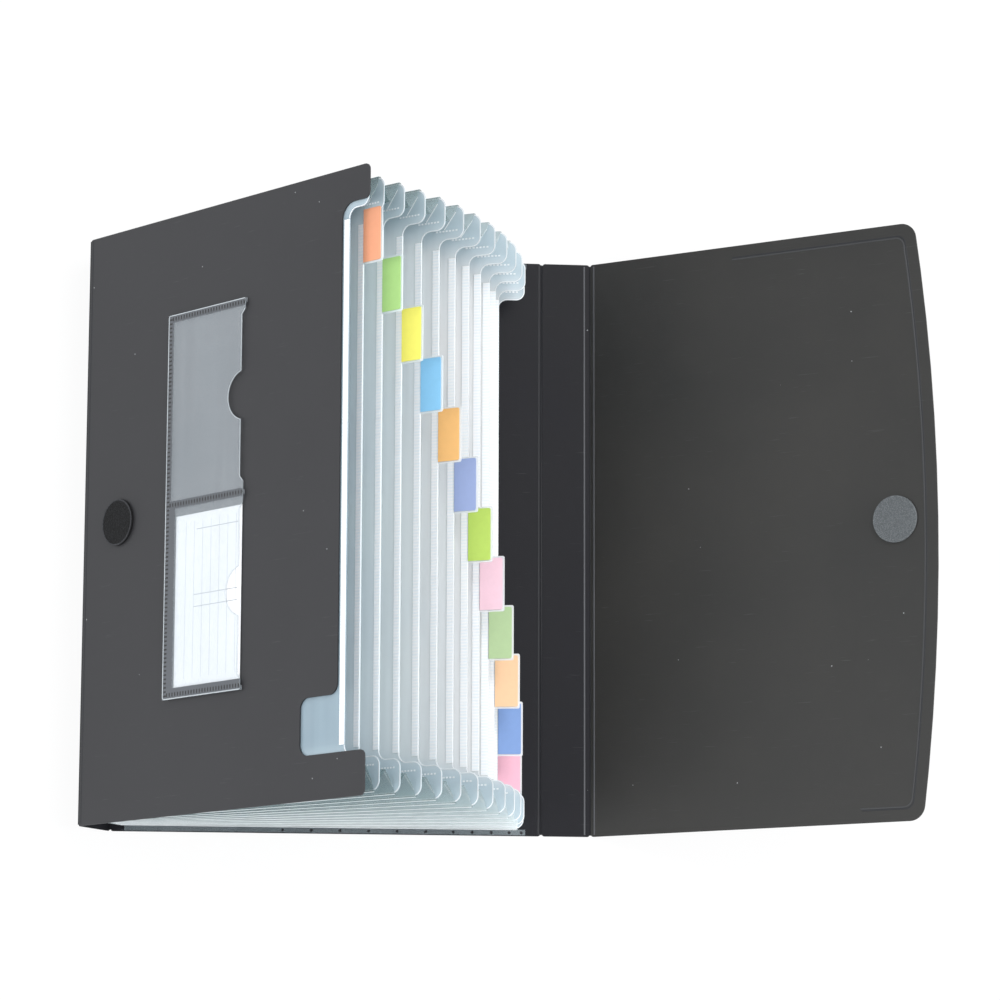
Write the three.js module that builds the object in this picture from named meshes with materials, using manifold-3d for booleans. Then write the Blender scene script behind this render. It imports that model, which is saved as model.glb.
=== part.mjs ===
// Expanding document file: a black plastic cover in five scored panels around a fan of clear pocket walls.
// Millimetres, +Z up. The back cover lies on its outer face, +X runs from the hinge side to the flap,
// and Y runs along the file's long edge. The origin is the centre of the back cover's outer face.
import * as THREE from 'three';
import { mergeVertices } from 'three/addons/utils/BufferGeometryUtils.js';
import Module from 'manifold-3d';

const wasm = await Module();
wasm.setup();

// Cover
const fileHeight = 330;
const sheet = 0.8;
const backWidth = 241;
const hingeSpine = 32;
const frontWidth = 235;
const closingSpine = 28;
const flapLength = 204;
const flapBulge = 11.5;
const foldSetback = 0.45;
const coverCorner = 3.5;
const flapCorner = 9;
const hingeCorner = 1.5;

// Pose in which the file is shown, in degrees
const fanAngle = 52;
const spineLean = 32;
const flapRaise = 36;

// Front cover's opening edge
const frontRecess = 21.5;
const frontRecessFillet = 9;
const upperEarHeight = 18.5;
const lowerEarHeight = 23.5;
const thumbNotchHeight = 30;
const thumbNotchDepth = 29;
const thumbNotchFillet = 6;

// Pocket walls
const pockets = 12;
const film = 0.4;
const filmGap = 0.3;
const wallInset = 0.9;
const wallStart = 0.2;
const wallRecess = 216;
const frontWallRecess = 218.5;
const wallEar = 231;
const wallEndMargin = 4;
const wallEarHeight = 18;
const wallEarCorner = 5;
const wallRecessFillet = 5;
const rearSpread = 1.2;
const hemWidth = 4;
const hemThickness = 0.8;

// Index tabs
const tabHeight = 28.5;
const tabWidth = 13;
const tabThickness = 0.3;
const firstTabFromEnd = 33.8;
const tabHolderMargin = 1;
const tabCorner = 1;

// Folded gussets that close the pockets' ends
const gussetFilm = 0.25;
const gussetPanel = 14;
const gussetStart = 4;
const gussetShort = 3.5;
const valleyHalf = 0.2;
const gussetStations = 3;

// Hook-and-loop dots
const dotDiameter = 26;
const dotThickness = 1.2;
const dotRound = 0.3;
const hookFromHinge = 30.5;
const loopFromEdge = 25;

// Film pocket and label card on the front cover
const cardPocketFromHinge = 73;
const cardPocketWidth = 65;
const cardPocketHeight = 211.5;
const cardPocketCentre = 3.3;
const cardPocketRim = 2.5;
const cardPocketRise = 1.3;
const cardPocketFilm = 0.35;
const cardPocketThumb = 13.3;
const labelCard = 0.3;
const cardPocketStep = 2.7;
const cardPocketStepFromEnd = 6;
const labelWidth = 55;
const labelSide = 8.5;
const labelFoot = 6.15;
const labelHead = 6.6;

const colours = {
  cover: { color: 0x35363a, roughness: 0.55, metalness: 0 },
  spine: { color: 0x2b2c31, roughness: 0.55, metalness: 0 },
  flap: { color: 0x3a3a3a, roughness: 0.55, metalness: 0 },
  film: { color: 0xc3d2da, roughness: 0.25, metalness: 0 },
  hook: { color: 0x151517, roughness: 0.95, metalness: 0 },
  loop: { color: 0x7d8082, roughness: 0.95, metalness: 0 },
  cardFilm: { color: 0x9aa5ad, roughness: 0.2, metalness: 0 },
  card: { color: 0xf4f5f6, roughness: 0.7, metalness: 0 },
};
const tabColours = [
  0xf9ad86, 0xaed985, 0xfdf56d, 0x8ccaf0, 0xf8c077, 0x9fb0db,
  0xc1e067, 0xfbd3e0, 0xb9d3a0, 0xfcd0a5, 0x82a2d8, 0xf9bdd0,
];

// Derived places
const halfHeight = fileHeight / 2;
const foldLevel = sheet / 2;
const fanFront = THREE.MathUtils.degToRad(fanAngle);
const spineAngle = THREE.MathUtils.degToRad(90 + spineLean);
const flapAngle = THREE.MathUtils.degToRad(flapRaise);
const along = (angle) => new THREE.Vector3(Math.cos(angle), 0, Math.sin(angle));
const across = (angle) => new THREE.Vector3(-Math.sin(angle), 0, Math.cos(angle));
const hingeFold = new THREE.Vector3(-backWidth / 2, 0, foldLevel);
const frontFold = hingeFold.clone().addScaledVector(along(spineAngle), hingeSpine);
const closingFold = new THREE.Vector3(backWidth / 2, 0, foldLevel);
const flapFold = closingFold.clone().add(new THREE.Vector3(closingSpine, 0, 0));
const wallEnd = halfHeight - wallEndMargin;
const firstWallLevel = sheet / 2 + filmGap + film / 2;
const wallPitch = (hingeSpine - 2 * firstWallLevel) / pockets;
const topTab = halfHeight - firstTabFromEnd;
const tabPitch = 2 * topTab / (pockets - 1);

// Wall 0 is on the front cover and the last one is on the back cover.
function wallAngle(k) {
  return fanFront * (1 - (k / pockets) ** rearSpread);
}

function wallRoot(k) {
  if (k === 0) {
    return frontFold.clone().addScaledVector(across(fanFront), -firstWallLevel);
  }
  if (k === pockets) {
    return hingeFold.clone().addScaledVector(across(0), firstWallLevel);
  }
  const up = firstWallLevel + (pockets - k) * wallPitch;
  const inward = across(spineAngle).multiplyScalar(-wallInset);
  return hingeFold.clone().addScaledVector(along(spineAngle), up).add(inward);
}

// A group whose X runs out from a fold, at an angle above the horizontal
function leaf(origin, angle) {
  const group = new THREE.Group();
  group.position.copy(origin);
  group.rotation.y = -angle;
  return group;
}

// A closed outline through corners [x, y, radius], each rounded by an arc
function roundedOutline(corners) {
  const shape = new THREE.Shape();
  corners.forEach(([x, y, radius = 0], i) => {
    const here = new THREE.Vector2(x, y);
    if (radius === 0) {
      if (i === 0) shape.moveTo(x, y);
      else shape.lineTo(x, y);
      return;
    }
    const [px, py] = corners[(i + corners.length - 1) % corners.length];
    const [nx, ny] = corners[(i + 1) % corners.length];
    const back = new THREE.Vector2(px - x, py - y).normalize();
    const ahead = new THREE.Vector2(nx - x, ny - y).normalize();
    const half = Math.acos(THREE.MathUtils.clamp(back.dot(ahead), -1, 1)) / 2;
    const run = radius / Math.tan(half);
    const middle = back.clone().add(ahead).normalize();
    const centre = here.clone().addScaledVector(middle, radius / Math.sin(half));
    const start = here.clone().addScaledVector(back, run);
    const end = here.clone().addScaledVector(ahead, run);
    const clockwise = back.x * ahead.y - back.y * ahead.x > 0;
    if (i === 0) shape.moveTo(start.x, start.y);
    else shape.lineTo(start.x, start.y);
    shape.absarc(
      centre.x, centre.y, radius,
      Math.atan2(start.y - centre.y, start.x - centre.x),
      Math.atan2(end.y - centre.y, end.x - centre.x),
      clockwise,
    );
  });
  shape.closePath();
  return shape;
}

// A plate of the outline, centred on its own middle plane
function plate(shape, thickness, lift = 0) {
  const geometry = new THREE.ExtrudeGeometry(shape, { depth: thickness, bevelEnabled: false, curveSegments: 5 });
  return geometry.translate(0, 0, lift - thickness / 2);
}

function box(x0, x1, y0, y1, z0, z1) {
  const geometry = new THREE.BoxGeometry(x1 - x0, y1 - y0, z1 - z0);
  return geometry.translate((x0 + x1) / 2, (y0 + y1) / 2, (z0 + z1) / 2);
}

function toSolid(geometry) {
  const bare = geometry.clone();
  bare.deleteAttribute('normal');
  bare.deleteAttribute('uv');
  const merged = mergeVertices(bare);
  return new wasm.Manifold(new wasm.Mesh({
    numProp: 3,
    vertProperties: new Float32Array(merged.attributes.position.array),
    triVerts: new Uint32Array(merged.index.array),
  }));
}

function toGeometry(solid) {
  const mesh = solid.getMesh();
  const geometry = new THREE.BufferGeometry();
  geometry.setAttribute('position', new THREE.BufferAttribute(new Float32Array(mesh.vertProperties), 3));
  geometry.setIndex(new THREE.BufferAttribute(new Uint32Array(mesh.triVerts), 1));
  geometry.computeVertexNormals();
  return geometry;
}

function piece(name, geometry, material) {
  const mesh = new THREE.Mesh(geometry, new THREE.MeshStandardMaterial(material));
  mesh.name = name;
  return mesh;
}

// The two hinge-side panels are plain strips between their folds.
function strip(width) {
  return plate(roundedOutline([
    [foldSetback, -halfHeight, hingeCorner],
    [width - foldSetback, -halfHeight, hingeCorner],
    [width - foldSetback, halfHeight, hingeCorner],
    [foldSetback, halfHeight, hingeCorner],
  ]), sheet);
}

function frontCoverOutline() {
  const recess = frontWidth - frontRecess;
  const notchTop = -halfHeight + lowerEarHeight + thumbNotchHeight;
  const notchBottom = -halfHeight + lowerEarHeight;
  const notchInner = recess - thumbNotchDepth;
  return roundedOutline([
    [foldSetback, -halfHeight, hingeCorner],
    [frontWidth, -halfHeight, coverCorner],
    [frontWidth, notchBottom, coverCorner],
    [notchInner, notchBottom, thumbNotchFillet],
    [notchInner, notchTop, thumbNotchFillet],
    [recess, notchTop, thumbNotchFillet],
    [recess, halfHeight - upperEarHeight, frontRecessFillet],
    [frontWidth, halfHeight - upperEarHeight, coverCorner],
    [frontWidth, halfHeight, coverCorner],
    [foldSetback, halfHeight, hingeCorner],
  ]);
}

// The flap's free edge is a shallow arc through its two corners and the bulge between them.
function flapOutline() {
  const radius = (halfHeight ** 2 + flapBulge ** 2) / (2 * flapBulge);
  const centre = flapLength + flapBulge - radius;
  const steps = 12;
  const edge = [];
  for (let i = 1; i < steps; i += 1) {
    const y = -halfHeight + (fileHeight * i) / steps;
    edge.push([centre + Math.sqrt(radius ** 2 - y ** 2), y, 0]);
  }
  return roundedOutline([
    [foldSetback, -halfHeight, hingeCorner],
    [flapLength, -halfHeight, flapCorner],
    ...edge,
    [flapLength, halfHeight, flapCorner],
    [foldSetback, halfHeight, hingeCorner],
  ]);
}

function tabCentre(k) {
  return topTab - (k - 1) * tabPitch;
}

// A wall's ears reach past its recessed edge at both ends, and its clear tab holder stands on that edge.
function wallGeometry(k) {
  const recess = k === 0 ? frontWallRecess : wallRecess;
  const ear = k === 0 ? wallEar + frontWallRecess - wallRecess : wallEar;
  const start = k % pockets === 0 ? wallInset + wallStart : wallStart;
  const inner = wallEnd - wallEarHeight;
  const lower = [
    [start, -wallEnd],
    [ear, -wallEnd, wallEarCorner],
    [ear, -inner, wallEarCorner],
    [recess, -inner, wallRecessFillet],
  ];
  const upper = lower.map(([x, y, radius]) => [x, -y, radius]).reverse();
  let wall = toSolid(plate(roundedOutline([...lower, ...upper]), film));
  if (k > 0) {
    const reach = recess + tabWidth + tabHolderMargin;
    const half = tabHeight / 2 + tabHolderMargin;
    const y = tabCentre(k);
    const holder = [
      [recess - hemWidth / 2, y - half],
      [reach, y - half, tabCorner],
      [reach, y + half, tabCorner],
      [recess - hemWidth / 2, y + half],
    ];
    wall = wall.add(toSolid(plate(roundedOutline(holder), film)));
  }
  const hemEnd = inner - wallRecessFillet;
  const hem = toSolid(box(recess - hemWidth, recess, -hemEnd, hemEnd, -hemThickness / 2, hemThickness / 2));
  return toGeometry(wall.add(hem));
}

function tabGeometry(k) {
  const half = tabHeight / 2;
  const y = tabCentre(k);
  const x0 = wallRecess + filmGap;
  const x1 = wallRecess + tabWidth;
  const shape = roundedOutline([[x0, y - half], [x1, y - half, tabCorner], [x1, y + half, tabCorner], [x0, y + half]]);
  return plate(shape, tabThickness, film / 2 + filmGap + tabThickness / 2);
}

// The folds of a gusset at one distance from the walls' roots, as a line in a plane across them.
// The crests wrap the walls' ends, and each valley lies halfway between two walls.
function gussetLine(reach, side) {
  const crest = film / 2 + filmGap + gussetFilm / 2;
  const crestY = wallEnd + filmGap + gussetFilm / 2;
  const at = (k, lift) => wallRoot(k)
    .addScaledVector(along(wallAngle(k)), reach)
    .addScaledVector(across(wallAngle(k)), lift);
  const line = [];
  for (let k = pockets; k >= 0; k -= 1) {
    for (const lift of [k === pockets ? 0 : -crest, k === 0 ? 0 : crest]) {
      line.push(at(k, lift).setY(side * crestY));
    }
    if (k === 0) break;
    const from = at(k, 0);
    const to = at(k - 1, 0);
    const gap = from.distanceTo(to);
    const depth = Math.sqrt(gussetPanel ** 2 - (gap / 2 - crest) ** 2);
    const middle = from.clone().add(to).multiplyScalar(0.5);
    const step = to.clone().sub(from).normalize().multiplyScalar(valleyHalf);
    const valleyY = side * (crestY - depth);
    line.push(middle.clone().sub(step).setY(valleyY), middle.clone().add(step).setY(valleyY));
  }
  return line;
}

// A folded strip: each line of folds is thickened to both sides, and the lines are joined by faces.
function gussetGeometry(side) {
  const rows = [];
  for (let j = 0; j < gussetStations; j += 1) {
    const reach = THREE.MathUtils.lerp(gussetStart, wallEar - gussetShort, j / (gussetStations - 1));
    const line = gussetLine(reach, side);
    const row = line.map((point, i) => {
      const out = along(fanFront * (i / (line.length - 1)));
      const normals = [];
      if (i > 0) normals.push(point.clone().sub(line[i - 1]).cross(out).normalize());
      if (i < line.length - 1) normals.push(line[i + 1].clone().sub(point).cross(out).normalize());
      const sum = normals.reduce((a, b) => a.clone().add(b));
      const miter = normals.length === 2 ? 2 / sum.lengthSq() : 1;
      const shift = sum.multiplyScalar((miter * gussetFilm) / 2);
      return [point.clone().add(shift), point.clone().sub(shift)];
    });
    rows.push(row);
  }
  const count = rows[0].length;
  const positions = [];
  rows.forEach((row) => row.forEach(([a, b]) => positions.push(...a.toArray(), ...b.toArray())));
  const id = (j, i, face) => (j * count + i) * 2 + face;
  const index = [];
  const quad = (a, b, c, d) => index.push(a, b, c, a, c, d);
  for (let j = 0; j < rows.length - 1; j += 1) {
    for (let i = 0; i < count - 1; i += 1) {
      quad(id(j, i, 0), id(j, i + 1, 0), id(j + 1, i + 1, 0), id(j + 1, i, 0));
      quad(id(j, i, 1), id(j + 1, i, 1), id(j + 1, i + 1, 1), id(j, i + 1, 1));
    }
    for (const i of [0, count - 1]) {
      const loop = [id(j, i, 0), id(j + 1, i, 0), id(j + 1, i, 1), id(j, i, 1)];
      quad(...(i === 0 ? loop : loop.reverse()));
    }
  }
  for (let i = 0; i < count - 1; i += 1) {
    const last = rows.length - 1;
    quad(id(0, i, 0), id(0, i, 1), id(0, i + 1, 1), id(0, i + 1, 0));
    quad(id(last, i, 0), id(last, i + 1, 0), id(last, i + 1, 1), id(last, i, 1));
  }
  const geometry = new THREE.BufferGeometry();
  geometry.setAttribute('position', new THREE.BufferAttribute(new Float32Array(positions), 3));
  geometry.setIndex(index);
  geometry.computeVertexNormals();
  return geometry;
}

// A round patch with a softened top edge, turned so that it lies on a panel's upper face
function dotGeometry() {
  const radius = dotDiameter / 2;
  const profile = [
    new THREE.Vector2(0, 0),
    new THREE.Vector2(radius, 0),
    new THREE.Vector2(radius, dotThickness - dotRound),
    new THREE.Vector2(radius - dotRound, dotThickness),
    new THREE.Vector2(0, dotThickness),
  ];
  return new THREE.LatheGeometry(profile, 40).rotateX(Math.PI / 2);
}

// Two compartments under one film, each open towards the file's opening, with a thumb cut in its edge
function cardPocketGeometry() {
  const x0 = cardPocketFromHinge;
  const x1 = cardPocketFromHinge + cardPocketWidth;
  const half = cardPocketHeight / 2;
  const y0 = cardPocketCentre - half;
  const y1 = cardPocketCentre + half;
  const z0 = sheet / 2 + filmGap;
  const z1 = z0 + cardPocketRise;
  const past = 1;
  let pocket = toSolid(box(x0, x1, y0, y1, z0, z1));
  for (const [from, to] of [[y0, cardPocketCentre], [cardPocketCentre, y1]]) {
    const low = from + (from === y0 ? cardPocketRim : cardPocketRim / 2);
    const high = to - (to === y1 ? cardPocketRim : cardPocketRim / 2);
    const hollow = box(x0 + cardPocketRim, x1 + past, low, high, z0 - past, z1 - cardPocketFilm);
    const thumb = new THREE.CylinderGeometry(cardPocketThumb, cardPocketThumb, 2 * cardPocketRise, 32);
    thumb.rotateX(Math.PI / 2).translate(x1, (from + to) / 2, z1);
    const step = new THREE.Shape([
      new THREE.Vector2(x1 - cardPocketStep, from + cardPocketStepFromEnd + cardPocketStep),
      new THREE.Vector2(x1 + past, from + cardPocketStepFromEnd - past),
      new THREE.Vector2(x1 + past, to - cardPocketStepFromEnd + past),
      new THREE.Vector2(x1 - cardPocketStep, to - cardPocketStepFromEnd - cardPocketStep),
    ]);
    const edge = plate(step, 4 * cardPocketRise, z1);
    pocket = pocket.subtract(toSolid(hollow)).subtract(toSolid(thumb)).subtract(toSolid(edge));
  }
  return toGeometry(pocket);
}

function labelCardGeometry() {
  const x0 = cardPocketFromHinge + labelSide;
  const y0 = cardPocketCentre - cardPocketHeight / 2 + labelFoot;
  const y1 = cardPocketCentre - labelHead;
  const z0 = sheet / 2 + filmGap;
  return box(x0, x0 + labelWidth, y0, y1, z0, z0 + labelCard);
}

const group = new THREE.Group();

const back = leaf(hingeFold, 0);
back.add(piece('back_cover', strip(backWidth), colours.cover));
group.add(back);

const hinge = leaf(hingeFold, spineAngle);
hinge.add(piece('hinge_spine', strip(hingeSpine), colours.spine));
group.add(hinge);

const front = leaf(frontFold, fanFront);
front.add(piece('front_cover', plate(frontCoverOutline(), sheet), colours.cover));
const hook = piece('hook_dot', dotGeometry(), colours.hook);
hook.position.set(hookFromHinge, 0, sheet / 2 + filmGap);
front.add(hook);
front.add(piece('card_pocket', cardPocketGeometry(), colours.cardFilm));
front.add(piece('label_card', labelCardGeometry(), colours.card));
group.add(front);

const closing = leaf(closingFold, 0);
closing.add(piece('closing_spine', strip(closingSpine), colours.spine));
group.add(closing);

const flap = leaf(flapFold, flapAngle);
flap.add(piece('flap', plate(flapOutline(), sheet), colours.flap));
const loop = piece('loop_dot', dotGeometry(), colours.loop);
loop.position.set(flapLength + flapBulge - loopFromEdge, 0, sheet / 2 + filmGap);
flap.add(loop);
group.add(flap);

for (let k = 0; k <= pockets; k += 1) {
  const wall = leaf(wallRoot(k), wallAngle(k));
  wall.add(piece(`pocket_wall_${k + 1}`, wallGeometry(k), colours.film));
  if (k > 0) {
    const paint = { color: tabColours[(k - 1) % tabColours.length], roughness: 0.6, metalness: 0 };
    wall.add(piece(`index_tab_${k}`, tabGeometry(k), paint));
  }
  group.add(wall);
}

group.add(piece('gusset_top', gussetGeometry(1), colours.film));
group.add(piece('gusset_bottom', gussetGeometry(-1), colours.film));

export default group;
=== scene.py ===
"""Looks of the expanding file: black grained sheet, milky films, card tabs and a hook-and-loop fastener."""
import math

import bpy
import numpy as np
from mathutils import Matrix, Vector


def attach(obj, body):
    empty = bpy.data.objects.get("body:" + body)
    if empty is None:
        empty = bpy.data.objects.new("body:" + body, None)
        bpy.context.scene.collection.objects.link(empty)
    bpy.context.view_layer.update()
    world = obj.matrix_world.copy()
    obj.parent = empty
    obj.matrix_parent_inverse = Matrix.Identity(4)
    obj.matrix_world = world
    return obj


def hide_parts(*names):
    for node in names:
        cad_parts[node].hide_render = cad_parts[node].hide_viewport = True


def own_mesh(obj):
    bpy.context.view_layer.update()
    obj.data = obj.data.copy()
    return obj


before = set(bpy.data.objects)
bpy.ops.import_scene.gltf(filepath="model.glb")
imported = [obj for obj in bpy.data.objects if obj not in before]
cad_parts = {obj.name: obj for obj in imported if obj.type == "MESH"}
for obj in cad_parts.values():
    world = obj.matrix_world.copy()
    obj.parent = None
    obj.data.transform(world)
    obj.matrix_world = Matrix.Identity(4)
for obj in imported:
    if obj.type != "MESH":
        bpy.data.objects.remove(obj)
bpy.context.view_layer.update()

# Sizes in millimetres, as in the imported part
HEIGHT = 330.0
SHEET = 0.8
BACK_WIDTH = 241.0
HINGE_SPINE = 32.0
CLOSING_SPINE = 28.0
FLAP_LENGTH = 204.0
FLAP_BULGE = 11.5
FAN = math.radians(52)
SPINE = math.radians(122)
RAISE = math.radians(36)
POCKETS = 12
FILM = 0.4
FIRST_LEVEL = 0.9
WALL_INSET = 0.9
WALL_RECESS = 216.0
FRONT_WALL_RECESS = 218.5
WALL_EAR = 231.0
WALL_END = 161.0
EAR_HEIGHT = 18.0
HEM_WIDTH = 4.0
REAR_SPREAD = 1.2
HOOK_AT = 30.5
LOOP_AT = FLAP_LENGTH + FLAP_BULGE - 25.0
DOT_RADIUS = 13.0
DOT_TOP = SHEET / 2 + 0.3 + 1.2
POCKET_X = (73.0, 138.0)
POCKET_Y = (-102.45, 109.05)
POCKET_MID = 3.3
POCKET_TOP = SHEET / 2 + 0.3 + 1.3
LABEL_Y = (-96.3, -3.3)
LABEL_TOP = SHEET / 2 + 0.3 + 0.3
HALF = HEIGHT / 2
MM = 0.001

rng = np.random.default_rng(7)


def along(angle):
    return np.array([math.cos(angle), 0.0, math.sin(angle)])


def across(angle):
    return np.array([-math.sin(angle), 0.0, math.cos(angle)])


HINGE_FOLD = np.array([-BACK_WIDTH / 2, 0, SHEET / 2])
FRONT_FOLD = HINGE_FOLD + HINGE_SPINE * along(SPINE)
CLOSING_FOLD = np.array([BACK_WIDTH / 2, 0, SHEET / 2])
FLAP_FOLD = CLOSING_FOLD + np.array([CLOSING_SPINE, 0, 0])
WALL_PITCH = (HINGE_SPINE - 2 * FIRST_LEVEL) / POCKETS


def wall_angle(k):
    return FAN * (1 - (k / POCKETS) ** REAR_SPREAD)


def wall_root(k):
    if k == 0:
        return FRONT_FOLD - FIRST_LEVEL * across(FAN)
    if k == POCKETS:
        return HINGE_FOLD + FIRST_LEVEL * across(0)
    up = FIRST_LEVEL + (POCKETS - k) * WALL_PITCH
    return HINGE_FOLD + up * along(SPINE) - WALL_INSET * across(SPINE)


def wall_body(k):
    if k == 0:
        return "front"
    if k == POCKETS:
        return "back"
    return "wall_%d" % (k + 1)


def place(origin, angle, r, y, lift=0.0):
    """A panel's own (r, y, lift) in the row frame, in millimetres."""
    return origin + r * along(angle) + lift * across(angle) + np.array([0, y, 0])


# Materials

def new_material(name):
    mat = bpy.data.materials.new(name)
    mat.use_nodes = True
    nodes = mat.node_tree.nodes
    return mat, nodes, mat.node_tree.links, nodes["Principled BSDF"]


def node(nodes, kind, **values):
    made = nodes.new(kind)
    for key, value in values.items():
        if key in made.inputs:
            made.inputs[key].default_value = value
        else:
            setattr(made, key, value)
    return made


def srgb(text, alpha=1.0):
    out = []
    for i in (0, 2, 4):
        v = int(text[i:i + 2], 16) / 255
        out.append(v / 12.92 if v <= 0.04045 else ((v + 0.055) / 1.055) ** 2.4)
    return (*out, alpha)


def ramp(nodes, stops):
    made = nodes.new("ShaderNodeValToRGB")
    elements = made.color_ramp.elements
    while len(elements) < len(stops):
        elements.new(0.5)
    for element, (at, colour) in zip(elements, stops):
        element.position = at
        element.color = colour
    return made


def coords(nodes, links, scale=(1, 1, 1)):
    tex = nodes.new("ShaderNodeTexCoord")
    mapping = nodes.new("ShaderNodeMapping")
    mapping.inputs["Scale"].default_value = scale
    links.new(tex.outputs["Object"], mapping.inputs["Vector"])
    return mapping.outputs["Vector"]


def mix_colour(nodes, links, factor, a, b, blend="MIX"):
    made = nodes.new("ShaderNodeMix")
    made.data_type = "RGBA"
    made.blend_type = blend
    for socket, value in ((made.inputs[0], factor), (made.inputs[6], a), (made.inputs[7], b)):
        if isinstance(value, bpy.types.NodeSocket):
            links.new(value, socket)
        else:
            socket.default_value = value
    return made.outputs[2]


HAIR_STRENGTH = 0.05
DUST_RADIUS = 0.055
DUST_SHARE = 0.35
DUST_STRENGTH = 0.55


def black_sheet(name, dark, light, specks=0.5, gloss=0.3):
    """Matt black sheet with a fine grain, faint clouding, hairline scratches and dust."""
    mat, nodes, links, bsdf = new_material(name)
    cloud = node(nodes, "ShaderNodeTexNoise", Scale=9.0, Detail=5.0, Roughness=0.6)
    links.new(coords(nodes, links), cloud.inputs["Vector"])
    base = ramp(nodes, [(0.3, srgb(dark)), (0.75, srgb(light))])
    links.new(cloud.outputs["Fac"], base.inputs["Fac"])
    scratch = node(nodes, "ShaderNodeTexNoise", Scale=60.0, Detail=2.0)
    links.new(coords(nodes, links, (1.0, 26.0, 1.0)), scratch.inputs["Vector"])
    hair = ramp(nodes, [(0.70, (0, 0, 0, 1)), (0.78, (1, 1, 1, 1))])
    links.new(scratch.outputs["Fac"], hair.inputs["Fac"])
    hair_amount = node(nodes, "ShaderNodeMath", operation="MULTIPLY")
    hair_amount.inputs[1].default_value = HAIR_STRENGTH
    links.new(hair.outputs["Color"], hair_amount.inputs[0])
    scratched = mix_colour(nodes, links, hair_amount.outputs[0], base.outputs["Color"], srgb("b9bcc0"))
    dust = node(nodes, "ShaderNodeTexVoronoi", Scale=170.0)
    links.new(coords(nodes, links), dust.inputs["Vector"])
    near = node(nodes, "ShaderNodeMath", operation="LESS_THAN")
    near.inputs[1].default_value = DUST_RADIUS
    links.new(dust.outputs["Distance"], near.inputs[0])
    pick = nodes.new("ShaderNodeSeparateColor")
    links.new(dust.outputs["Color"], pick.inputs["Color"])
    chosen = node(nodes, "ShaderNodeMath", operation="GREATER_THAN")
    chosen.inputs[1].default_value = 1 - DUST_SHARE * specks
    links.new(pick.outputs["Red"], chosen.inputs[0])
    both = node(nodes, "ShaderNodeMath", operation="MULTIPLY")
    links.new(near.outputs[0], both.inputs[0])
    links.new(chosen.outputs[0], both.inputs[1])
    soft = node(nodes, "ShaderNodeMath", operation="MULTIPLY")
    soft.inputs[1].default_value = DUST_STRENGTH
    links.new(both.outputs[0], soft.inputs[0])
    links.new(mix_colour(nodes, links, soft.outputs[0], scratched, srgb("d9dcde")), bsdf.inputs["Base Color"])
    rough = ramp(nodes, [(0.25, (0.42, 0.42, 0.42, 1)), (0.8, (0.56, 0.56, 0.56, 1))])
    links.new(cloud.outputs["Fac"], rough.inputs["Fac"])
    links.new(rough.outputs["Color"], bsdf.inputs["Roughness"])
    grain = node(nodes, "ShaderNodeTexNoise", Scale=1500.0, Detail=2.0)
    links.new(coords(nodes, links), grain.inputs["Vector"])
    bump = node(nodes, "ShaderNodeBump", Strength=0.22, Distance=0.0002)
    links.new(grain.outputs["Fac"], bump.inputs["Height"])
    links.new(bump.outputs["Normal"], bsdf.inputs["Normal"])
    bsdf.inputs["Specular IOR Level"].default_value = gloss
    return mat


# Distance in metres from the middle at which the pockets' ends begin, and over which their painted shade
# fades in
END_ZONE = 0.136
END_FADE = 0.012


def milky_film(name, deep, pale, alpha, roughness=0.3, streak=1.0, ends=None):
    """Milky clear sheet: cloudy tint, faint streaks and a sheen. ends is the painted shade tone at the file's
    two ends, where the folds overlap.
    """
    mat, nodes, links, bsdf = new_material(name)
    cloud = node(nodes, "ShaderNodeTexNoise", Scale=14.0, Detail=4.0)
    links.new(coords(nodes, links), cloud.inputs["Vector"])
    base = ramp(nodes, [(0.3, srgb(deep)), (0.7, srgb(pale))])
    links.new(cloud.outputs["Fac"], base.inputs["Fac"])
    lines = node(nodes, "ShaderNodeTexNoise", Scale=160.0, Detail=2.0)
    links.new(coords(nodes, links, (1.0, 0.05, 1.0)), lines.inputs["Vector"])
    tint = ramp(nodes, [(0.35, (0.93, 0.93, 0.93, 1)), (0.65, (1, 1, 1, 1))])
    links.new(lines.outputs["Fac"], tint.inputs["Fac"])
    colour = mix_colour(nodes, links, streak, base.outputs["Color"], tint.outputs["Color"], "MULTIPLY")
    # Painted shade at the file's two ends, where the gusset folds overlap the walls.
    if ends:
        split = nodes.new("ShaderNodeSeparateXYZ")
        links.new(coords(nodes, links), split.inputs["Vector"])
        away = node(nodes, "ShaderNodeMath", operation="ABSOLUTE")
        links.new(split.outputs["Y"], away.inputs[0])
        zone = ramp(nodes, [(END_ZONE, (0, 0, 0, 1)), (END_ZONE + END_FADE, (1, 1, 1, 1))])
        links.new(away.outputs[0], zone.inputs["Fac"])
        colour = mix_colour(nodes, links, zone.outputs["Color"], colour, srgb(ends))
    links.new(colour, bsdf.inputs["Base Color"])
    rough = ramp(nodes, [(0.3, (roughness, roughness, roughness, 1)), (0.7, (roughness + 0.12,) * 3 + (1,))])
    links.new(cloud.outputs["Fac"], rough.inputs["Fac"])
    links.new(rough.outputs["Color"], bsdf.inputs["Roughness"])
    bump = node(nodes, "ShaderNodeBump", Strength=0.12, Distance=0.0004)
    links.new(lines.outputs["Fac"], bump.inputs["Height"])
    links.new(bump.outputs["Normal"], bsdf.inputs["Normal"])
    bsdf.inputs["Alpha"].default_value = alpha
    return mat


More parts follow.
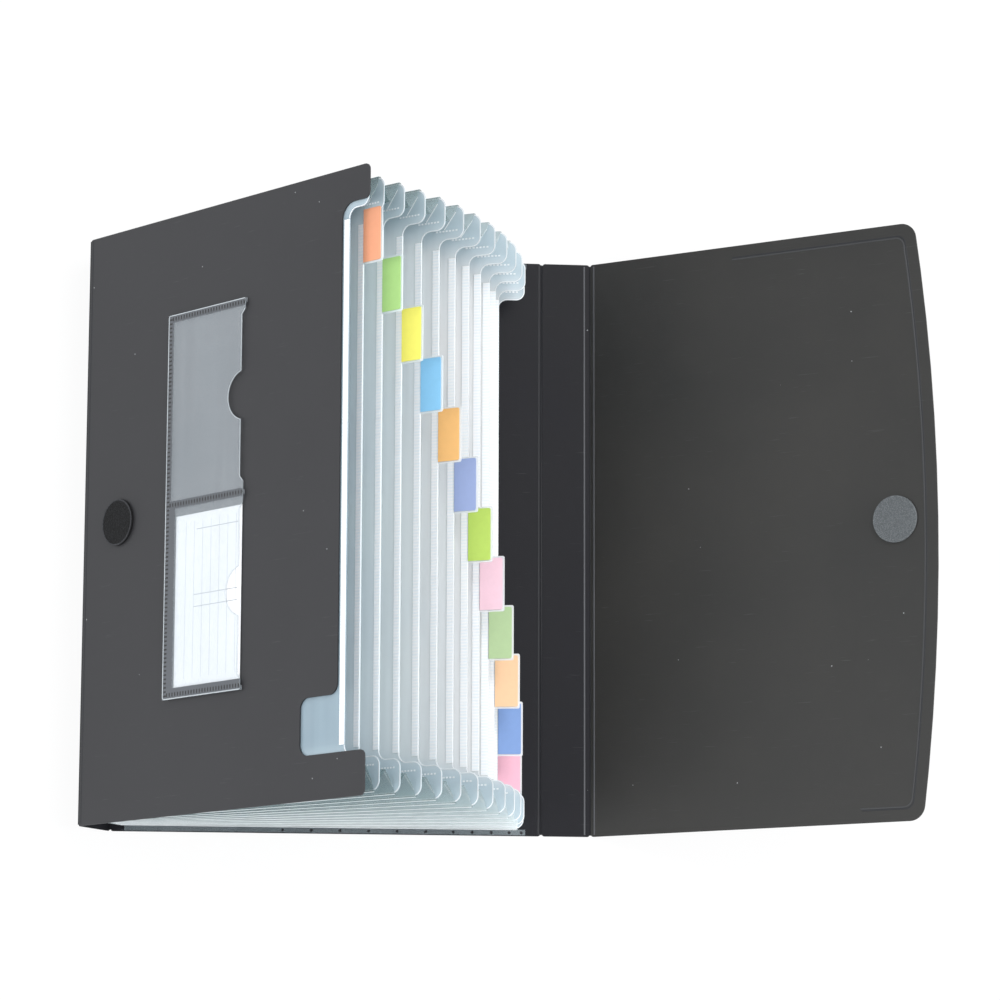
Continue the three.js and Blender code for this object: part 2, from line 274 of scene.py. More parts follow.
def weld_strip(name, colour, shade, pitch, depth=0.5):
    """A hem pressed with a row of small weld marks along the long edge."""
    mat, nodes, links, bsdf = new_material(name)
    split = nodes.new("ShaderNodeSeparateXYZ")
    links.new(coords(nodes, links, (1 / pitch,) * 3), split.inputs["Vector"])
    fraction = node(nodes, "ShaderNodeMath", operation="FRACT")
    links.new(split.outputs["Y"], fraction.inputs[0])
    marks = ramp(nodes, [(0.0, (0, 0, 0, 1)), (0.2, (1, 1, 1, 1)), (0.6, (1, 1, 1, 1)), (0.8, (0, 0, 0, 1))])
    links.new(fraction.outputs[0], marks.inputs["Fac"])
    cloud = node(nodes, "ShaderNodeTexNoise", Scale=220.0, Detail=3.0)
    links.new(coords(nodes, links), cloud.inputs["Vector"])
    amount = node(nodes, "ShaderNodeMath", operation="MULTIPLY")
    links.new(marks.outputs["Color"], amount.inputs[0])
    links.new(cloud.outputs["Fac"], amount.inputs[1])
    marked = mix_colour(nodes, links, amount.outputs[0], srgb(colour), srgb(shade))
    links.new(marked, bsdf.inputs["Base Color"])
    bump = node(nodes, "ShaderNodeBump", Strength=depth, Distance=0.0003)
    bump.invert = True
    links.new(marks.outputs["Color"], bump.inputs["Height"])
    links.new(bump.outputs["Normal"], bsdf.inputs["Normal"])
    bsdf.inputs["Roughness"].default_value = 0.35
    return mat


def paper(name, colour, fibre=0.05):
    """Smooth card with fine fibres and slight mottling."""
    mat, nodes, links, bsdf = new_material(name)
    mottle = node(nodes, "ShaderNodeTexNoise", Scale=320.0, Detail=4.0)
    links.new(coords(nodes, links), mottle.inputs["Vector"])
    tone = ramp(nodes, [(0.3, (1 - fibre,) * 3 + (1,)), (0.7, (1, 1, 1, 1))])
    links.new(mottle.outputs["Fac"], tone.inputs["Fac"])
    toned = mix_colour(nodes, links, 1.0, srgb(colour), tone.outputs["Color"], "MULTIPLY")
    links.new(toned, bsdf.inputs["Base Color"])
    bump = node(nodes, "ShaderNodeBump", Strength=0.1, Distance=0.0002)
    links.new(mottle.outputs["Fac"], bump.inputs["Height"])
    links.new(bump.outputs["Normal"], bsdf.inputs["Normal"])
    bsdf.inputs["Roughness"].default_value = 0.62
    return mat


def pile(name, dark, light, scale):
    """Woven pile of a fastener dot, with painted shade in the gaps between its tufts."""
    mat, nodes, links, bsdf = new_material(name)
    weave = node(nodes, "ShaderNodeTexVoronoi", Scale=scale)
    links.new(coords(nodes, links), weave.inputs["Vector"])
    # Lighter in each tuft's middle and darker at its edges: painted shade between the tufts.
    tone = ramp(nodes, [(0.05, srgb(light)), (0.6, srgb(dark))])
    links.new(weave.outputs["Distance"], tone.inputs["Fac"])
    links.new(tone.outputs["Color"], bsdf.inputs["Base Color"])
    bump = node(nodes, "ShaderNodeBump", Strength=0.7, Distance=0.0004)
    bump.invert = True
    links.new(weave.outputs["Distance"], bump.inputs["Height"])
    links.new(bump.outputs["Normal"], bsdf.inputs["Normal"])
    bsdf.inputs["Roughness"].default_value = 0.9
    return mat


cover_mat = black_sheet("front_sheet", "2e2e30", "353537", 0.14)
# The spines and back cover are painted darker than the front cover and flap, as painted shade on the file's
# inner sheets.
spine_mat = black_sheet("spine_sheet_painted_shade", "131317", "1a1a1f", 0.14, 0.17)
back_mat = black_sheet("back_sheet_painted_shade", "141418", "1b1b20", 0.14, 0.17)
flap_mat = black_sheet("flap_sheet", "2b2b2a", "343331", 0.2)
# Darker than the front cover and flap: painted shade in their pressed creases and in the flap border's shadow
# line.
line_mat = black_sheet("pressed_line", "232427", "2b2c2f", 0.0)
# Lighter than the sheets it lies on: a painted highlight along the pressed ridges.
shine_mat = black_sheet("pressed_ridge_painted_highlight", "4c4d50", "5a5b5e", 0.0)
# Lighter than the flap: a painted highlight along the flap border's ridge.
border_mat = black_sheet("flap_border_ridge_painted_highlight", "38393a", "444547", 0.0)
# Bright white: painted highlight for the films' cut edges, fold crests, creases and weld marks.
edge_highlight_mat = milky_film("film_edge_highlight", "f2f7f9", "fdfeff", 0.9, 0.25)
pocket_mat = milky_film("card_pocket_film", "d9e3ea", "e4ecf2", 0.19, 0.2)
tail_mat = milky_film("tail_film", "9aa6ac", "b4bec3", 0.35, 0.2)
# Hems painted white: doubled film, with a painted highlight where light catches the opening edge; the dots
# are weld marks.
hem_mat = weld_strip("hem_weld", "ffffff", "eaf4fa", 0.0017, 0.12)
mark_mat = weld_strip("pocket_weld", "050506", "101113", 0.0022)
# The films are painted greyer over the dark front cover and whiter towards the back cover: painted shade on
# the steep front walls and painted light on the flatter back ones
FILM_ALPHA = 0.68
GUSSET_ALPHA = 0.4
FILM_SHADE_FRONT = (0xE4, 0xF2, 0xF9)
FILM_LIGHT_BACK = (0xFF, 0xFF, 0xFF)
END_SHADE_TONE = "c9dae2"
COVER_FILM_SHADE = ("9db2be", "aabdc8")
GUSSET_SHADE_FRONT = (0x6E, 0x8A, 0x8C)
GUSSET_LIGHT_BACK = (0xF0, 0xF6, 0xF6)


def blend_tones(first, last, share):
    """Two hex tones between two colours: the mixed one and a slightly paler one."""
    mixed = [round(a * (1 - share) + b * share) for a, b in zip(first, last)]
    return tuple("".join("%02x" % min(255, c + lift) for c in mixed) for lift in (0, 8))



card_mat = paper("label_card_paper", "f4f5f6")
rule_mat = paper("label_rule_ink", "a5aab0")
hook_mat = pile("hook_pile", "060607", "1b1c1f", 900.0)
loop_mat = pile("loop_pile", "585c5e", "787c7f", 1500.0)
spot_mat = black_sheet("spot_weld", "17181b", "222327", 0.0)
TABS = ["f9ad86", "aed985", "fdf56d", "8ccaf0", "f8c077", "9fb0db",
        "c1e067", "fbd3e0", "b9d3a0", "fcd0a5", "82a2d8", "f9bdd0"]


def dress(name, mat):
    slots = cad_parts[name].material_slots
    for slot in slots:
        slot.material = mat


dress("front_cover", cover_mat)
dress("hinge_spine", spine_mat)
dress("back_cover", back_mat)
dress("closing_spine", spine_mat)
dress("flap", flap_mat)
dress("card_pocket", pocket_mat)
dress("label_card", card_mat)
dress("hook_dot", hook_mat)
dress("loop_dot", loop_mat)
for k in range(POCKETS + 1):
    # Each wall's copy of the film is painted greyer or whiter: painted shade and painted light.
    tones = COVER_FILM_SHADE if k == 0 else blend_tones(FILM_SHADE_FRONT, FILM_LIGHT_BACK, (k / POCKETS) ** 0.6)
    film_mat = milky_film("wall_film_%d" % (k + 1), *tones, FILM_ALPHA, ends=END_SHADE_TONE)
    dress("pocket_wall_%d" % (k + 1), film_mat)
for k in range(1, POCKETS + 1):
    dress("index_tab_%d" % k, paper("tab_card_%d" % k, TABS[k - 1], 0.035))


# Mesh helpers; all take millimetres

def add_piece(name, verts, faces, mat, body, smooth=False):
    mesh = bpy.data.meshes.new(name)
    mesh.from_pydata([tuple(float(c) * MM for c in v) for v in verts], [], [tuple(f) for f in faces])
    mesh.validate()
    mesh.update()
    mesh.materials.append(mat)
    obj = bpy.data.objects.new(name, mesh)
    bpy.context.scene.collection.objects.link(obj)
    if smooth:
        for polygon in mesh.polygons:
            polygon.use_smooth = True
    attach(obj, body)
    return obj


class Builder:
    """Collects closed bits into one mesh."""

    def __init__(self):
        self.verts = []
        self.faces = []

    def add(self, verts, faces):
        base = len(self.verts)
        self.verts.extend(verts)
        self.faces.extend([tuple(base + i for i in face) for face in faces])

    def ribbon(self, points, normals, half_width, height, inner=0.6):
        """A low ridge along points; normals give the up direction at each point."""
        points = [np.asarray(p, float) for p in points]
        count = len(points)
        verts = []
        for i, p in enumerate(points):
            ahead = points[min(i + 1, count - 1)] - points[max(i - 1, 0)]
            ahead = ahead / np.linalg.norm(ahead)
            up = normals[i] if isinstance(normals, list) else normals
            side = np.cross(up, ahead)
            side = side / np.linalg.norm(side)
            verts += [p - side * half_width, p - side * half_width * inner + up * height,
                      p + side * half_width * inner + up * height, p + side * half_width]
        faces = []
        for i in range(count - 1):
            a = 4 * i
            for j in range(4):
                b = (j + 1) % 4
                faces.append((a + j, a + b, a + 4 + b, a + 4 + j))
        faces.append((3, 2, 1, 0))
        end = 4 * (count - 1)
        faces.append((end, end + 1, end + 2, end + 3))
        self.add(verts, faces)

    def tube(self, start, end, radius, sides=12):
        start = np.asarray(start, float)
        end = np.asarray(end, float)
        axis = (end - start) / np.linalg.norm(end - start)
        first = np.cross(axis, [0.3, 0.2, 0.9])
        first = first / np.linalg.norm(first)
        second = np.cross(axis, first)
        verts = []
        for p in (start, end):
            for i in range(sides):
                t = 2 * math.pi * i / sides
                verts.append(p + radius * (math.cos(t) * first + math.sin(t) * second))
        faces = [(i, (i + 1) % sides, sides + (i + 1) % sides, sides + i) for i in range(sides)]
        faces.append(tuple(reversed(range(sides))))
        faces.append(tuple(range(sides, 2 * sides)))
        self.add(verts, faces)

    def stud(self, foot, up, side, radius, height, crown=0.6, sides=6):
        """A small tapered peg."""
        other = np.cross(up, side)
        verts = []
        for level, r in ((0, radius), (height, radius * crown)):
            for i in range(sides):
                t = 2 * math.pi * i / sides
                verts.append(foot + up * level + r * (math.cos(t) * side + math.sin(t) * other))
        faces = [(i, (i + 1) % sides, sides + (i + 1) % sides, sides + i) for i in range(sides)]
        faces.append(tuple(reversed(range(sides))))
        faces.append(tuple(range(sides, 2 * sides)))
        self.add(verts, faces)

    def sheet(self, grid, thickness):
        """A closed thin sheet through a grid of points."""
        grid = np.asarray(grid, float)
        rows, cols = grid.shape[:2]
        du = np.gradient(grid, axis=0)
        dv = np.gradient(grid, axis=1)
        normal = np.cross(du, dv)
        normal /= np.linalg.norm(normal, axis=2, keepdims=True)
        top = grid + normal * thickness / 2
        low = grid - normal * thickness / 2
        verts = list(top.reshape(-1, 3)) + list(low.reshape(-1, 3))
        size = rows * cols
        faces = []
        for i in range(rows - 1):
            for j in range(cols - 1):
                a, b = i * cols + j, i * cols + j + 1
                c, d = a + cols, b + cols
                faces.append((a, c, d, b))
                faces.append((size + a, size + b, size + d, size + c))
        rim = [(0, j) for j in range(cols)] + [(i, cols - 1) for i in range(1, rows)]
        rim += [(rows - 1, j) for j in range(cols - 2, -1, -1)] + [(i, 0) for i in range(rows - 2, 0, -1)]
        ids = [i * cols + j for i, j in rim]
        for a, b in zip(ids, ids[1:] + ids[:1]):
            faces.append((a, b, size + b, size + a))
        self.add(verts, faces)

    def make(self, name, mat, body, smooth=False):
        return add_piece(name, self.verts, self.faces, mat, body, smooth)


def rounded(corners, steps=5):
    """Points along an open line through corners (x, y, radius)."""
    out = []
    for i, (x, y, radius) in enumerate(corners):
        here = np.array([x, y], float)
        if radius == 0 or i in (0, len(corners) - 1):
            out.append(here)
            continue
        back = np.array(corners[i - 1][:2], float) - here
        ahead = np.array(corners[i + 1][:2], float) - here
        back /= np.linalg.norm(back)
        ahead /= np.linalg.norm(ahead)
        half = math.acos(max(-1, min(1, float(back @ ahead)))) / 2
        run = radius / math.tan(half)
        middle = (back + ahead) / np.linalg.norm(back + ahead)
        centre = here + middle * radius / math.sin(half)
        a = here + back * run - centre
        b = here + ahead * run - centre
        for s in range(steps + 1):
            mixed = a * (1 - s / steps) + b * s / steps
            out.append(centre + mixed / np.linalg.norm(mixed) * radius)
    return out


# Folds of the cover: a bead on each fold's axis joins its two panels at every pose
BEAD_RADIUS = 0.47
BEAD_SHORT = 0.8
BEADS = (
    ("hinge_fold_bead", HINGE_FOLD, "back"),
    ("front_fold_bead", FRONT_FOLD, "hinge_side"),
    ("closing_fold_bead", CLOSING_FOLD, "back"),
    ("flap_fold_bead", FLAP_FOLD, "closing_side"),
)
for name, fold, body in BEADS:
    bead = Builder()
    reach = HALF - BEAD_SHORT
    bead.tube(fold - [0, reach, 0], fold + [0, reach, 0], BEAD_RADIUS, 16)
    bead.make(name, line_mat, body, True)

# Pressed lines beside the folds: name, fold, angle, distance from the fold, body, slot and material
# Lines in shine_mat are painted highlights along their ridges; lines in line_mat are painted shade in their
# creases.
PRESSED = (
    ("back_pressed_line", CLOSING_FOLD, 0.0, -1.6, "back", "spine", line_mat),
    ("closing_pressed_line", FLAP_FOLD, 0.0, -3.4, "closing_side", "spine", shine_mat),
    ("flap_pressed_line", FLAP_FOLD, RAISE, 2.6, "flap", "flap", shine_mat),
    ("front_pressed_line", FRONT_FOLD, FAN, 2.2, "front", "cover", line_mat),
)
for name, origin, angle, r, body, slot, mat in PRESSED:
    ridge = Builder()
    ends = [place(origin, angle, r, y, SHEET / 2) for y in (-HALF + 1, HALF - 1)]
    ridge.ribbon(ends, across(angle), 0.45, 0.12)
    ridge.make(name, mat, body)

# The flap's pressed border, a painted shadow line with a painted highlight line inside it
BORDER_INSET = 6.8
BORDER_CORNER = 5.0
BORDER_CORNER_SHORT = 0.6
BORDER_TOP_START = 92
BORDER_LOW_START = 168
BORDER_HALF_WIDTH = 0.42
ARC_STEPS = 24
flap_radius = (HALF ** 2 + FLAP_BULGE ** 2) / (2 * FLAP_BULGE)
flap_centre = FLAP_LENGTH + FLAP_BULGE - flap_radius
inset_y = HALF - BORDER_INSET
edge = []
for i in range(ARC_STEPS + 1):
    y = (inset_y - 6) * (1 - 2 * i / ARC_STEPS)
    edge.append((flap_centre + math.sqrt((flap_radius - BORDER_INSET) ** 2 - y ** 2), y, 0))
corner_x = edge[0][0] - BORDER_CORNER_SHORT
border_line = rounded([
    (BORDER_TOP_START, inset_y, 0),
    (corner_x, inset_y, BORDER_CORNER),
    *edge,
    (corner_x, -inset_y, BORDER_CORNER),
    (BORDER_LOW_START, -inset_y, 0),
])
BORDERS = (
    ("flap_border_shadow", 0.0, line_mat, 0.10),
    ("flap_border_shine", -0.9, border_mat, 0.12),
)
for name, shift, mat, height in BORDERS:
    border = Builder()
    points = []
    for x, y in border_line:
        dx = shift if 100 < x else 0
        dy = shift * np.sign(y) * (abs(y) > 150)
        points.append(place(FLAP_FOLD, RAISE, x + dx, y + dy, SHEET / 2))
    border.ribbon(points, across(RAISE), BORDER_HALF_WIDTH, height)
    border.make(name, mat, "flap")


# Fastener dots: pegs on the hook half, short loops of pile on the loop half
STUD_JITTER = 0.07
STUD_LEAN = 0.35
RIM_WIDTH = 1.0
RIM_POINTS = 48


def dot_detail(name, origin, angle, r, mat, body, spacing, radius, height):
    """Tapered studs scattered over a dot, each leaning a little."""
    dots = Builder()
    up = across(angle)
    rows = int(2 * DOT_RADIUS / spacing)
    for i in range(-rows, rows + 1):
        for j in range(-rows, rows + 1):
            x = i * spacing + (0.5 * spacing if j % 2 else 0) + rng.normal(0, STUD_JITTER)
            y = j * spacing * 0.87 + rng.normal(0, STUD_JITTER)
            if x * x + y * y > (DOT_RADIUS - RIM_WIDTH) ** 2:
                continue
            foot = place(origin, angle, r + x, y, DOT_TOP - 0.05)
            lean = up + STUD_LEAN * rng.normal() * along(angle)
            lean = lean + STUD_LEAN * rng.normal() * np.array([0, 1, 0])
            lean /= np.linalg.norm(lean)
            side = np.cross(lean, [0, 1, 0])
            side /= np.linalg.norm(side)
            dots.stud(foot, lean, side, radius, height, 0.7, 5)
    dots.make(name, mat, body)


def dot_rim(name, origin, angle, r, mat, body):
    """A low ring around a dot."""
    rim = Builder()
    radius = DOT_RADIUS - RIM_WIDTH / 2
    points = []
    for i in range(RIM_POINTS + 1):
        t = 2 * math.pi * i / RIM_POINTS
        points.append(place(origin, angle, r + radius * math.cos(t), radius * math.sin(t), DOT_TOP - 0.02))
    rim.ribbon(points, across(angle), 0.45, 0.14)
    rim.make(name, mat, body)


dot_detail("hook_pegs", FRONT_FOLD, FAN, HOOK_AT, hook_mat, "front", 1.0, 0.28, 0.22)
dot_detail("loop_tufts", FLAP_FOLD, RAISE, LOOP_AT, loop_mat, "flap", 0.8, 0.34, 0.17)
hook_rim_mat = pile("hook_rim", "2c2d30", "45464a", 1200.0)
loop_rim_mat = pile("loop_rim", "565a5c", "757a7c", 1200.0)
dot_rim("hook_rim_ring", FRONT_FOLD, FAN, HOOK_AT, hook_rim_mat, "front")
dot_rim("loop_rim_ring", FLAP_FOLD, RAISE, LOOP_AT, loop_rim_mat, "flap")

# Card pocket: short weld ticks across its closed edges and between its compartments
ticks = Builder()
up = across(FAN)
x0, x1 = POCKET_X
y0, y1 = POCKET_Y
TICK_PITCH = 2.3
TICK_HALF = 1.05


def tick(x, y, dx, dy):
    a = place(FRONT_FOLD, FAN, x - dx, y - dy, POCKET_TOP - 0.03)
    b = place(FRONT_FOLD, FAN, x + dx, y + dy, POCKET_TOP - 0.03)
    ticks.ribbon([a, b], up, 0.6, 0.12)


y = y0 + 2
while y < y1 - 1:
    tick(x0 + 2.2, y, TICK_HALF, 0)
    y += TICK_PITCH
for level in (y0 + 2.4, y1 - 2.4, POCKET_MID):
    x = x0 + 4
    while x < x1 - 1:
        tick(x, level, 0, TICK_HALF)
        x += TICK_PITCH
ticks.make("card_pocket_weld", mark_mat, "front")

# The rim is pressed flat on the black cover, so it looks darker inside a cut edge drawn as a painted
# highlight
rim_mat = black_sheet("card_pocket_rim", "54575b", "63666b", 0.0, 0.3)
lip_highlight_mat = milky_film("card_pocket_lip_highlight", "c8d0d5", "dde3e6", 0.7, 0.2)
LIFT = POCKET_TOP - 0.04
rims = Builder()
lips = Builder()
# Bands of the rim as (start, end, half width); the lower compartment is clear beside its card
BANDS = (
    ((x0 + 2.6, POCKET_MID - 2.0), (x0 + 2.6, y1 - 0.5), 1.9),
    ((x0 + 4.5, y1 - 2.4), (x1 - 0.7, y1 - 2.4), 1.9),
    ((x0 + 4.5, POCKET_MID), (x1 - 0.7, POCKET_MID), 2.2),
    ((x0 + 4.5, y0 + 0.6), (x0 + 4.5, POCKET_MID - 2.2), 3.7),
    ((x0 + 8.2, y0 + 3.2), (x1 - 0.7, y0 + 3.2), 2.6),
)
for a, b, half in BANDS:
    ends = [place(FRONT_FOLD, FAN, *a, LIFT), place(FRONT_FOLD, FAN, *b, LIFT)]
    rims.ribbon(ends, up, half, 0.07, 0.97)
LIP_INSET = 0.3
LIP_CORNER = 1.5
outline = rounded([
    (x1 - 0.4, y0 + LIP_INSET, 0),
    (x0 + LIP_INSET, y0 + LIP_INSET, LIP_CORNER),
    (x0 + LIP_INSET, y1 - LIP_INSET, LIP_CORNER),
    (x1 - 0.4, y1 - LIP_INSET, 0),
])
lips.ribbon([place(FRONT_FOLD, FAN, x, y, LIFT) for x, y in outline], up, 0.28, 0.1)
# The opening edge of each compartment, drawn as a painted highlight: a small step at both ends and the thumb
# cut between them
STEP_IN = 3.0
THUMB = 13.6
for low, high in ((y0, POCKET_MID), (POCKET_MID, y1)):
    middle = (low + high) / 2
    half_angle = math.acos(STEP_IN / THUMB)
    edge_line = [(x1 - 0.4, low + 6.1), (x1 - STEP_IN, low + 8.9)]
    for i in range(13):
        t = -half_angle + 2 * half_angle * i / 12
        edge_line.append((x1 - THUMB * math.cos(t), middle + THUMB * math.sin(t)))
    edge_line += [(x1 - STEP_IN, high - 8.9), (x1 - 0.4, high - 6.1)]
    lips.ribbon([place(FRONT_FOLD, FAN, x, y, LIFT) for x, y in edge_line], up, 0.2, 0.1)
rims.make("card_pocket_rim", rim_mat, "front")
lips.make("card_pocket_lip_highlight", lip_highlight_mat, "front")

# Thin plain rules on the label card: seven faint ones along it and three across it
rules = Builder()
RULES_ALONG = (90, 97, 104, 111, 118, 125, 132)
RULES_ACROSS = ((99, -12), (97, -47.5), (97, -54))
RULE_END = 133.5
RULES = [((x, LABEL_Y[0] + 4), (x, LABEL_Y[1] - 4), 0.12) for x in RULES_ALONG]
RULES += [((start, y), (RULE_END, y), 0.2) for start, y in RULES_ACROSS]
for a, b, half in RULES:
    ends = [place(FRONT_FOLD, FAN, *a, LABEL_TOP), place(FRONT_FOLD, FAN, *b, LABEL_TOP)]
    rules.ribbon(ends, up, half, 0.03)
rules.make("label_rules", rule_mat, "front")

# Pocket walls: pressed hems; painted highlights along the cut edges, the fold crests and an ear crease; weld
# marks on the ears, painted white as highlights
EAR_LINE = 0.28
EDGE_INSET = 0.3
EDGE_OUTER_RADIUS = 4.7
EDGE_INNER_RADIUS = 5.3
EDGE_START = 6
WELD_MARKS = 7
WELD_PITCH = 2.0
WELD_FROM_EAR = 4.5
WELD_FROM_END = 13.2
CREST_LINE_END = 227
for k in range(POCKETS + 1):
    origin, angle = wall_root(k), wall_angle(k)
    recess = FRONT_WALL_RECESS if k == 0 else WALL_RECESS
    ear = WALL_EAR + (FRONT_WALL_RECESS - WALL_RECESS if k == 0 else 0)
    body = wall_body(k)
    n = across(angle)
    inner = WALL_END - EAR_HEIGHT
    hem_end = inner - 5
    # The hem strips are white doubled film with a painted highlight where light catches the opening edge.
    hem = Builder()
    for s in (1, -1):
        a = place(origin, angle, recess - HEM_WIDTH / 2, -hem_end + 0.2, s * 0.4)
        b = place(origin, angle, recess - HEM_WIDTH / 2, hem_end - 0.2, s * 0.4)
        hem.ribbon([a, b], s * n, HEM_WIDTH / 2, 0.08, 0.95)
    hem.make("hem_%d" % (k + 1), hem_mat, body)
    # The white lines below are painted highlights: cut edges, weld marks, fold crest and ear crease.
    edges = Builder()
    for s in (1, -1):
        outline = rounded([
            (EDGE_START, s * (WALL_END - EDGE_INSET), 0),
            (ear - EDGE_INSET, s * (WALL_END - EDGE_INSET), EDGE_OUTER_RADIUS),
            (ear - EDGE_INSET, s * (inner + EDGE_INSET), EDGE_OUTER_RADIUS),
            (recess - EDGE_INSET, s * (inner + EDGE_INSET), EDGE_INNER_RADIUS),
            (recess - EDGE_INSET, s * (hem_end + 0.4), 0),
        ])
        for lift in (1, -1):
            points = [place(origin, angle, x, y, lift * FILM / 2) for x, y in outline]
            edges.ribbon(points, lift * n, EAR_LINE, 0.07, 0.8)
        for i in range(WELD_MARKS):
            x = ear - WELD_FROM_EAR - WELD_PITCH * i
            y = s * (WALL_END - WELD_FROM_END)
            a = place(origin, angle, x - 0.62, y, FILM / 2)
            b = place(origin, angle, x + 0.62, y, FILM / 2)
            edges.ribbon([a, b], n, 0.45, 0.09)
        crest = [place(origin, angle, x, s * (WALL_END + 0.5)) for x in (EDGE_START, CREST_LINE_END)]
        edges.ribbon(crest, np.array([0, s, 0.0]), 0.42, 0.22, 0.8)
        a = place(origin, angle, ear - 12.0, s * (WALL_END - 12.4), FILM / 2)
        b = place(origin, angle, ear - 5.0, s * (WALL_END - 3.2), FILM / 2)
        edges.ribbon([a, b], n, 0.3, 0.1)
    edges.make("wall_edges_%d" % (k + 1), edge_highlight_mat, body)

# Gussets: on each wall, the half folds that run out to the valleys beside it
GUSSET_GAP = 0.3
GUSSET_SHEET = 0.25
GUSSET_BOW = 0.06
CREST = FILM / 2 + GUSSET_GAP + GUSSET_SHEET / 2
CREST_Y = WALL_END + GUSSET_GAP + GUSSET_SHEET / 2
PANEL = 14.0
STATIONS = (4.0, 60.0, 120.0, 175.0, 205.0, 227.5)
STEPS = 5


def at_wall(k, r, lift=0.0):
    return wall_root(k) + r * along(wall_angle(k)) + lift * across(wall_angle(k))


first_gusset = None
for k in range(POCKETS + 1):
    folds = Builder()
    widest = 1.0
    angle = wall_angle(k)
    for s in (1, -1):
        for step in (-1, 1):
            other = k + step
            if other < 0 or other > POCKETS:
                continue
            lift = CREST if step < 0 else -CREST
            grid = []
            for r in STATIONS:
                here, there = at_wall(k, r), at_wall(other, r)
                gap = np.linalg.norm(there - here)
                widest = max(widest, (0.5 + GUSSET_BOW) * gap)
                depth = math.sqrt(max(PANEL ** 2 - (gap / 2 - CREST) ** 2, 1.0))
                crest = at_wall(k, r, lift) + np.array([0, s * CREST_Y, 0])
                valley = here + (there - here) * (0.5 - 0.12 / gap) + np.array([0, s * (CREST_Y - depth), 0])
                line = []
                for i in range(STEPS + 1):
                    t = i / STEPS
                    bow = GUSSET_BOW * gap * math.sin(math.pi * t)
                    p = crest * (1 - t) + valley * t
                    p = p + across(angle) * (-bow if step < 0 else bow)
                    line.append(p)
                grid.append(line)
            folds.sheet(grid, GUSSET_SHEET)
        wrap = []
        for r in STATIONS:
            end = np.array([0, s * CREST_Y, 0])
            wrap.append([at_wall(k, r, lift) + end for lift in (-CREST, 0.0, CREST)])
        folds.sheet(wrap, GUSSET_SHEET)
    # Gussets are painted darker near the front cover and paler near the back cover: painted shade and painted
    # light.
    tones = blend_tones(GUSSET_SHADE_FRONT, GUSSET_LIGHT_BACK, k / POCKETS)
    gusset_mat = milky_film("gusset_film_%d" % (k + 1), *tones, GUSSET_ALPHA)
    piece = folds.make("gusset_fold_%d" % (k + 1), gusset_mat, wall_body(k))
    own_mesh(piece)
    if first_gusset is None:
        first_gusset = piece
        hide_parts("gusset_top", "gusset_bottom")

# The films' tail on the back cover's lower margin, held by spot welds
TAIL_Y = 163.0
SPOT_Y = 163.2
SPOTS = (96, 112, 128, 144, 160, 176, 191.5, 202.2, 212.9, 223.0, 229.8)
tail = Builder()
for s in (-1, 1):
    a = place(HINGE_FOLD, 0, 8, s * TAIL_Y, SHEET / 2)
    b = place(HINGE_FOLD, 0, 232, s * TAIL_Y, SHEET / 2)
    tail.ribbon([a, b], np.array([0, 0, 1.0]), 1.6, 0.14, 0.95)
tail.make("back_film_tail", tail_mat, "back")
spots = Builder()
for s in (-1, 1):
    for x in SPOTS:
        foot = place(HINGE_FOLD, 0, x, s * SPOT_Y, SHEET / 2 + 0.12)
        spots.stud(foot, np.array([0, 0, 1.0]), np.array([1.0, 0, 0]), 0.9, 0.08, 0.8, 12)
spots.make("back_spot_welds", spot_mat, "back")


# Camera, fitted to the photograph's corners
CAMERA_AT = (-0.12110, -0.36808, 2.17744)
CAMERA_TURN = (-0.17926, 0.09816, -0.02094)
FOCAL_PX = 3904.08
FRAME_PX = 1000
SENSOR = 36.0


def turn_matrix(rx, ry, rz):
    x = Matrix.Rotation(rx, 3, "X")
    y = Matrix.Rotation(ry, 3, "Y")
    z = Matrix.Rotation(rz, 3, "Z")
    return z @ y @ x


camera_data = bpy.data.cameras.new("camera")
camera_data.sensor_width = SENSOR
camera_data.lens = FOCAL_PX / FRAME_PX * SENSOR
camera_data.clip_end = 50
camera = bpy.data.objects.new("camera", camera_data)
bpy.context.scene.collection.objects.link(camera)
camera.matrix_world = Matrix.Translation(CAMERA_AT) @ turn_matrix(*CAMERA_TURN).transposed().to_4x4()
bpy.context.scene.camera = camera

# Pale floor that shows white to the camera and keeps a soft shadow
floor_mesh = bpy.data.meshes.new("floor")
FLOOR_HALF = 6
FLOOR_Z = -0.0004
FLOOR_GLOW = 0.9
FLOOR_SIGNS = ((-1, -1), (1, -1), (1, 1), (-1, 1))
floor_corners = [(sx * FLOOR_HALF, sy * FLOOR_HALF, FLOOR_Z) for sx, sy in FLOOR_SIGNS]
floor_mesh.from_pydata(floor_corners, [], [(0, 1, 2, 3)])
floor = bpy.data.objects.new("floor", floor_mesh)
bpy.context.scene.collection.objects.link(floor)
floor_mat, nodes, links, bsdf = new_material("floor")
bsdf.inputs["Base Color"].default_value = (0.9, 0.9, 0.9, 1)
bsdf.inputs["Roughness"].default_value = 0.8
bsdf.inputs["Specular IOR Level"].default_value = 0.1
glow = node(nodes, "ShaderNodeEmission", Strength=1.0)
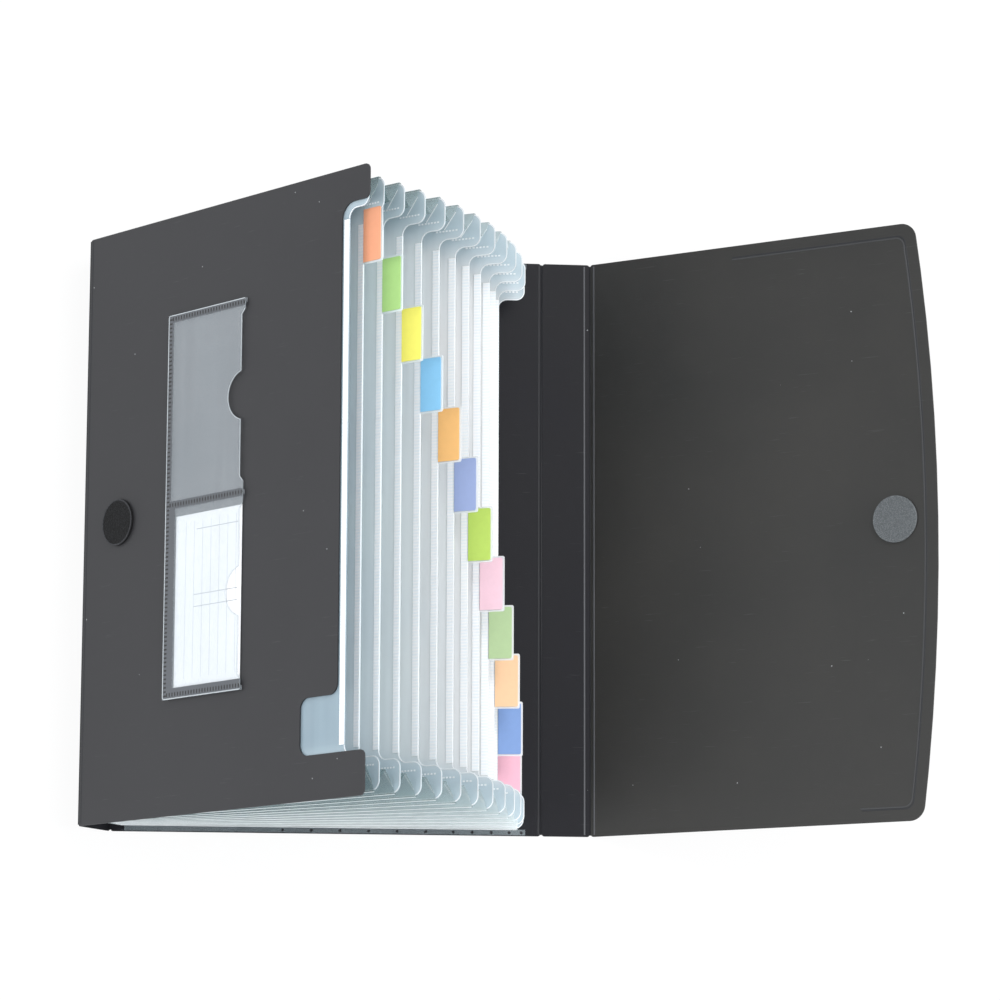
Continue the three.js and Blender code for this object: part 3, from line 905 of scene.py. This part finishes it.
paths = nodes.new("ShaderNodeLightPath")
seen = node(nodes, "ShaderNodeMath", operation="MAXIMUM")
links.new(paths.outputs["Is Camera Ray"], seen.inputs[0])
links.new(paths.outputs["Is Transmission Ray"], seen.inputs[1])
share = node(nodes, "ShaderNodeMath", operation="MULTIPLY")
share.inputs[1].default_value = FLOOR_GLOW
links.new(seen.outputs[0], share.inputs[0])
blend = nodes.new("ShaderNodeMixShader")
links.new(share.outputs[0], blend.inputs[0])
links.new(bsdf.outputs[0], blend.inputs[1])
links.new(glow.outputs[0], blend.inputs[2])
links.new(blend.outputs[0], nodes["Material Output"].inputs["Surface"])
floor_mesh.materials.append(floor_mat)

# Soft studio light
world = bpy.data.worlds.new("studio")
bpy.context.scene.world = world
world.use_nodes = True
nodes, links = world.node_tree.nodes, world.node_tree.links
sky = nodes["Background"]
sky.inputs["Color"].default_value = (0.93, 0.96, 1.0, 1)
sky.inputs["Strength"].default_value = 0.74
white = node(nodes, "ShaderNodeBackground", Strength=1.0)
white.inputs["Color"].default_value = (1, 1, 1, 1)
paths = nodes.new("ShaderNodeLightPath")
blend = nodes.new("ShaderNodeMixShader")
links.new(paths.outputs["Is Camera Ray"], blend.inputs[0])
links.new(sky.outputs[0], blend.inputs[1])
links.new(white.outputs[0], blend.inputs[2])
links.new(blend.outputs[0], nodes["World Output"].inputs["Surface"])


def area(name, at, target, size, power):
    data = bpy.data.lights.new(name, "AREA")
    data.shape = "DISK"
    data.size = size
    data.energy = power
    lamp = bpy.data.objects.new(name, data)
    bpy.context.scene.collection.objects.link(lamp)
    lamp.location = at
    lamp.rotation_euler = (Vector(target) - Vector(at)).to_track_quat("-Z", "Y").to_euler()


area("key", (0.9, 0.9, 2.2), (0.05, 0, 0.05), 1.2, 26)
area("fill", (-1.6, -0.6, 1.6), (0.0, 0, 0.1), 1.4, 24)
area("opening", (1.7, -0.2, 1.5), (0.0, 0, 0.08), 1.0, 24)

bpy.context.scene.view_settings.view_transform = "Standard"
